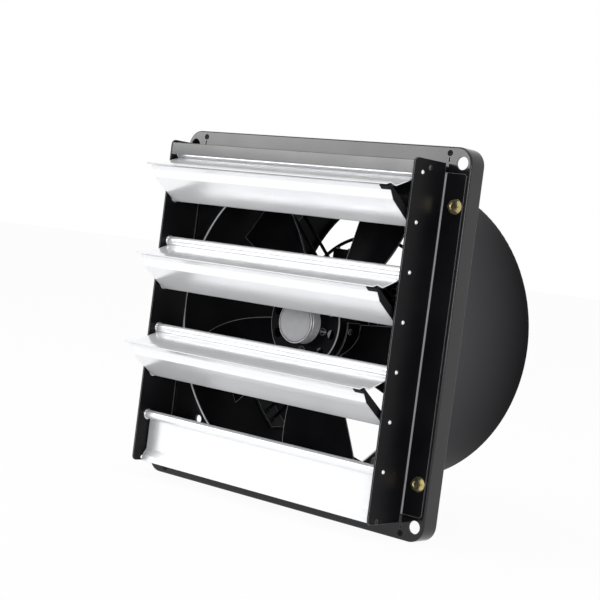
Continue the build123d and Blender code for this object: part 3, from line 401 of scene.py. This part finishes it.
def mill_aluminium():
    """Drawn aluminium: soft streaks along the extrusion, a satin gloss and darker sharp edges."""
    s = Shader("mill_aluminium", (0.90, 0.905, 0.92), metallic=0.45, roughness=0.2)
    streaks = s.noise(s.stretched(0.8, 900.0, 900.0), scale=1.0)
    clouds = s.noise(s.place, scale=22.0)
    s.rough(s.ranged(clouds, 0.15, 0.22))
    metal = s.tinted(streaks, (0.88, 0.885, 0.90), (0.93, 0.935, 0.945))
    s.color(s.mixed(s.edges(0.7 * MM, start=0.95, end=0.8), metal, HIGHLIGHT_AND_EDGE_GRAY))
    return s.material


def bright_steel():
    """Bright steel of pins, washers, shaft and screws, with faint clouds."""
    s = Shader("bright_steel", (0.92, 0.92, 0.93), metallic=0.8, roughness=0.2)
    clouds = s.noise(s.place, scale=300.0)
    s.color(s.tinted(clouds, (0.86, 0.86, 0.87), (0.95, 0.95, 0.96)))
    s.rough(s.ranged(clouds, 0.15, 0.28))
    grain = s.noise(s.place, scale=1500.0, detail=1.0)
    s.bump(grain, distance=0.01 * MM, strength=0.4, edge=0.2 * MM)
    return s.material


def yellow_zinc():
    """Yellow passivated zinc: gold with shifts to green and rose."""
    s = Shader("yellow_zinc", (0.62, 0.55, 0.32), metallic=1.0, roughness=0.22)
    clouds = s.noise(s.place, scale=260.0)
    s.color(s.tinted(clouds, (0.56, 0.54, 0.32), (0.80, 0.68, 0.42)))
    s.rough(s.ranged(clouds, 0.16, 0.28))
    grain = s.noise(s.place, scale=1800.0, detail=1.0)
    s.bump(grain, distance=0.01 * MM, strength=0.4, edge=0.3 * MM)
    return s.material


def cast_alloy(name, dark, light):
    """Plain cast metal with a sandy surface."""
    s = Shader(name, light, metallic=0.2, roughness=0.4)
    clouds = s.noise(s.place, scale=120.0, detail=3.0)
    s.metal = s.tinted(clouds, dark, light)
    s.color(s.metal)
    s.rough(s.ranged(clouds, 0.34, 0.48))
    grain = s.noise(s.place, scale=1200.0)
    s.bump(grain, distance=0.03 * MM, strength=0.5, edge=0.3 * MM)
    return s


def cap_metal():
    """The boss cap: gray, lighter in a narrow ring at its rim, with a dark line of painted shade
    inside the rim.
    """
    s = cast_alloy("cap_metal", dark=(0.29, 0.29, 0.305), light=(0.33, 0.33, 0.345))
    # Painted shade: a dark line for the gap inside the cap's rim
    line = s.stripe(s.ranged(s.reach(), 0.0, 1.0, *CAP_LINE_SPAN), *CAP_LINE)
    rim = s.ranged(s.reach(), 0.0, 1.0, *CAP_RIM_REACH)
    face = s.mixed(rim, s.metal, (0.62, 0.62, 0.64))
    s.color(s.mixed(line, face, (0.02, 0.02, 0.02)))
    return s.material


def core_steel():
    """The motor's iron: fine bands of its laminations."""
    s = Shader("core_steel", (0.28, 0.28, 0.29), metallic=1.0, roughness=0.4)
    wave = s.add("ShaderNodeTexWave", wave_type="BANDS", bands_direction="Y")
    set_inputs(wave, Scale=320.0)
    s.link(s.place, wave.inputs["Vector"])
    laminations = wave.outputs["Fac"]
    s.color(s.tinted(laminations, (0.2, 0.2, 0.21), (0.32, 0.32, 0.33)))
    s.rough(s.ranged(s.noise(s.place, scale=200.0), 0.34, 0.5))
    s.bump(laminations, distance=0.1 * MM, strength=0.6)
    return s.material


def copper_enamel():
    """Enamelled copper wire of the windings."""
    s = Shader("copper_enamel", (0.55, 0.20, 0.07), metallic=0.8, roughness=0.28)
    turns = s.noise(s.place, scale=900.0)
    s.color(s.tinted(turns, (0.42, 0.14, 0.05), (0.65, 0.26, 0.09)))
    s.bump(turns, distance=0.2 * MM, strength=0.6)
    return s.material


def plastic(name, color, roughness, specular=0.5):
    """Moulded plastic or rubber: a fine grain and faint clouds."""
    s = Shader(name, color, metallic=0.0, roughness=roughness, specular=specular)
    clouds = s.noise(s.place, scale=60.0)
    dark, light = [tuple(c * shade for c in color) for shade in PLASTIC_SHADES]
    s.color(s.tinted(clouds, dark, light))
    s.rough(s.ranged(clouds, roughness - PLASTIC_ROUGHNESS_SPREAD,
                     roughness + PLASTIC_ROUGHNESS_SPREAD))
    grain = s.noise(s.place, scale=1600.0)
    s.bump(grain, distance=0.03 * MM, strength=0.4, edge=0.3 * MM)
    return s.material


MATERIALS = {
    "black_paint": black_paint("black_paint", specular=0.65, roughness=(0.14, 0.22)).material,
    "bracket_paint": bracket_paint(),
    "plate_paint": plate_paint(),
    "barrel_paint": barrel_paint(),
    "black_coat": black_coat(),
    "hub_coat": hub_coat(),
    "mill_aluminium": mill_aluminium(),
    "bright_steel": bright_steel(),
    "yellow_zinc": yellow_zinc(),
    "cast_alloy": cast_alloy("cast_alloy", (0.76, 0.76, 0.78), (0.86, 0.86, 0.88)).material,
    "cap_metal": cap_metal(),
    "core_steel": core_steel(),
    "copper_enamel": copper_enamel(),
    "black_plastic": plastic("black_plastic", (0.003, 0.003, 0.004), roughness=0.5, specular=0.12),
    "white_plastic": plastic("white_plastic", (0.78, 0.78, 0.76), roughness=0.4),
    "black_rubber": plastic("black_rubber", (0.012, 0.012, 0.012), roughness=0.6),
}

# Nodes whose finish isn't the one named after their material slot
COATED = ["blade_rivets", "hub_screws", "front_end_bell", "rear_end_bell", "motor_shell",
          "spider_plate", "spider_wires", "spider_wire_ring", "spider_feet",
          "motor_mount_bolts", "motor_mount_nuts",
          "fan_blade_1", "fan_blade_2", "fan_blade_3", "fan_blade_4", "fan_blade_5"]
FINISHES = {
    "impeller_hub": "hub_coat",
    "mounting_plate": "plate_paint",
    "fan_barrel": "barrel_paint",
    "left_side_bracket": "bracket_paint",
    "right_side_bracket": "bracket_paint",
    "boss_cap": "cap_metal",
    **{name: "black_coat" for name in COATED},
}


def finish_nodes():
    """Gives every CAD node its own finish, or else the one named after its material slot."""
    for row in frame["record"]["subparts"]:
        node = nodes[row["node"]]
        node.data.materials.clear()
        node.data.materials.append(MATERIALS[FINISHES.get(row["node"], row["material_slot"])])


def add_mesh(name, corners, faces):
    """Adds a mesh object from its corners and faces."""
    mesh = bpy.data.meshes.new(name)
    mesh.from_pydata(corners, [], faces)
    return add_object(name, mesh)


def own_piece(name, corners, faces, body, slot, finish):
    """Adds a piece that moves with a body and shows a finish. The slot is not used."""
    piece = add_mesh(name, corners, faces)
    piece.data.materials.append(MATERIALS[finish])
    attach(piece, body)


def joined(parts):
    """Corners and faces of several meshes as one."""
    corners, faces = [], []
    for part_corners, part_faces in parts:
        faces += [tuple(k + len(corners) for k in face) for face in part_faces]
        corners += part_corners
    return corners, faces


def turned(x, z, outline, sides):
    """A solid turned about a line along Y at x, z, from its outline of (radius, y), in mm."""
    corners, faces = [(x * MM, outline[0][1] * MM, z * MM)], []
    for radius, y in outline:
        for k in range(sides):
            turn = 2 * math.pi * k / sides
            across, up = x + radius * math.cos(turn), z + radius * math.sin(turn)
            corners.append((across * MM, y * MM, up * MM))
    corners.append((x * MM, outline[-1][1] * MM, z * MM))
    last_ring = 1 + (len(outline) - 1) * sides
    for k in range(sides):
        n = (k + 1) % sides
        faces.append((0, 1 + k, 1 + n))
        for ring in range(1, last_ring, sides):
            faces.append((ring + k, ring + sides + k, ring + sides + n, ring + n))
        faces.append((last_ring + n, last_ring + k, len(corners) - 1))
    return corners, faces


def tab(x, z):
    """A thin upright tab with cut corners round x, z, in mm."""
    half_w, half_h, cut = TAB_WIDTH / 2, TAB_HEIGHT / 2, TAB_CUT
    flat = [(half_w - cut, half_h), (half_w, half_h - cut),
            (half_w, cut - half_h), (half_w - cut, -half_h),
            (cut - half_w, -half_h), (-half_w, cut - half_h),
            (-half_w, half_h - cut), (cut - half_w, half_h)]
    corners = [((x + i) * MM, y * MM, (z + j) * MM)
               for y in (TAB_FRONT_Y, TAB_REAR_Y) for i, j in flat]
    count = len(flat)
    faces = [tuple(range(count)), tuple(range(2 * count - 1, count - 1, -1))]
    faces += [(k, k + count, (k + 1) % count + count, (k + 1) % count) for k in range(count)]
    return corners, faces


def add_corner_marks():
    """Blind rivets in the plate's four mark holes, and tabs behind them that close the slits."""
    places = [(i * MARK_X, j * MARK_Z) for i in (-1, 1) for j in (-1, 1)]
    rivets = [turned(x, z, RIVET_OUTLINE, RIVET_SIDES) for x, z in places]
    own_piece("corner_rivets", *joined(rivets), "root", "black_paint", "black_plastic")
    tabs = [tab(x, z - math.copysign(TAB_INSET, z)) for x, z in places]
    own_piece("corner_tabs", *joined(tabs), "root", "black_paint", "black_plastic")


def white_for_the_eye(tree, shader, target, share):
    """Mixes a share of plain white into a shader for rays from the eye, a gloss or a glass."""
    path = add_node(tree, "ShaderNodeLightPath").outputs
    seen = calculated(tree, "MAXIMUM", path["Is Camera Ray"], path["Is Glossy Ray"])
    seen = calculated(tree, "MAXIMUM", seen, path["Is Transmission Ray"])
    white = add_node(tree, "ShaderNodeEmission")
    mix = add_node(tree, "ShaderNodeMixShader")
    tree.links.new(calculated(tree, "MULTIPLY", seen, share), mix.inputs["Fac"])
    tree.links.new(shader, mix.inputs[1])
    tree.links.new(white.outputs["Emission"], mix.inputs[2])
    tree.links.new(mix.outputs["Shader"], target)


def make_floor():
    """A wide pale floor under the plate's lower edge."""
    low = cad_box[0][2]
    far = FLOOR_REACH
    corners = [(-far, -far, low), (far, -far, low), (far, far, low), (-far, far, low)]
    floor = add_mesh("floor", corners, [(0, 1, 2, 3)])
    material = bpy.data.materials.new("floor_white")
    material.use_nodes = True
    tree = material.node_tree
    shader = tree.nodes["Principled BSDF"]
    set_inputs(shader, Base_Color=FLOOR_COLOR, Roughness=FLOOR_ROUGHNESS, Specular_IOR_Level=0.0)
    surface = tree.nodes["Material Output"].inputs["Surface"]
    white_for_the_eye(tree, shader.outputs["BSDF"], surface, FLOOR_WHITE)
    floor.data.materials.append(material)


def make_flag():
    """A black card at the front left, seen only in gloss, that keeps the black paint black."""
    back = direction(FLAG_AZIMUTH, 0.0)
    side = Vector((-back.y, back.x, 0.0))
    corners = [back * FLAG_DISTANCE + side * across + Vector((0.0, 0.0, z))
               for across, z in ((-FLAG_HALF_WIDTH, FLAG_LOW), (FLAG_HALF_WIDTH, FLAG_LOW),
                                 (FLAG_HALF_WIDTH, FLAG_HIGH), (-FLAG_HALF_WIDTH, FLAG_HIGH))]
    flag = add_mesh("flag", corners, [(0, 1, 2, 3)])
    material = bpy.data.materials.new("flag_black")
    material.use_nodes = True
    shader = material.node_tree.nodes["Principled BSDF"]
    set_inputs(shader, Base_Color=BLACK, Specular_IOR_Level=0.0)
    flag.data.materials.append(material)
    flag.visible_camera = False
    flag.visible_diffuse = False
    flag.visible_transmission = False
    flag.visible_shadow = False


def make_world():
    """A gray fill light that shows as white."""
    world = bpy.data.worlds.new("studio")
    bpy.context.scene.world = world
    world.use_nodes = True
    tree = world.node_tree
    fill = tree.nodes["Background"]
    set_inputs(fill, Color=WORLD_COLOR, Strength=WORLD_STRENGTH)
    surface = tree.nodes["World Output"].inputs["Surface"]
    white_for_the_eye(tree, fill.outputs["Background"], surface, WORLD_WHITE)


def make_lamp(name, azimuth, elevation, distance, width, height, power):
    """A soft rectangular lamp that faces the object."""
    data = bpy.data.lights.new(name, "AREA")
    data.shape = "RECTANGLE"
    data.size = width
    data.size_y = height
    data.energy = power
    lamp = add_object(name, data)
    back = direction(math.radians(azimuth), math.radians(elevation))
    lamp.matrix_world = Matrix.Translation(back * distance) @ facing(back).to_4x4()


make_camera()
finish_nodes()
add_corner_marks()
make_floor()
make_world()
make_flag()
for lamp in LAMPS:
    make_lamp(*lamp)

bpy.context.scene.view_settings.view_transform = "Standard"
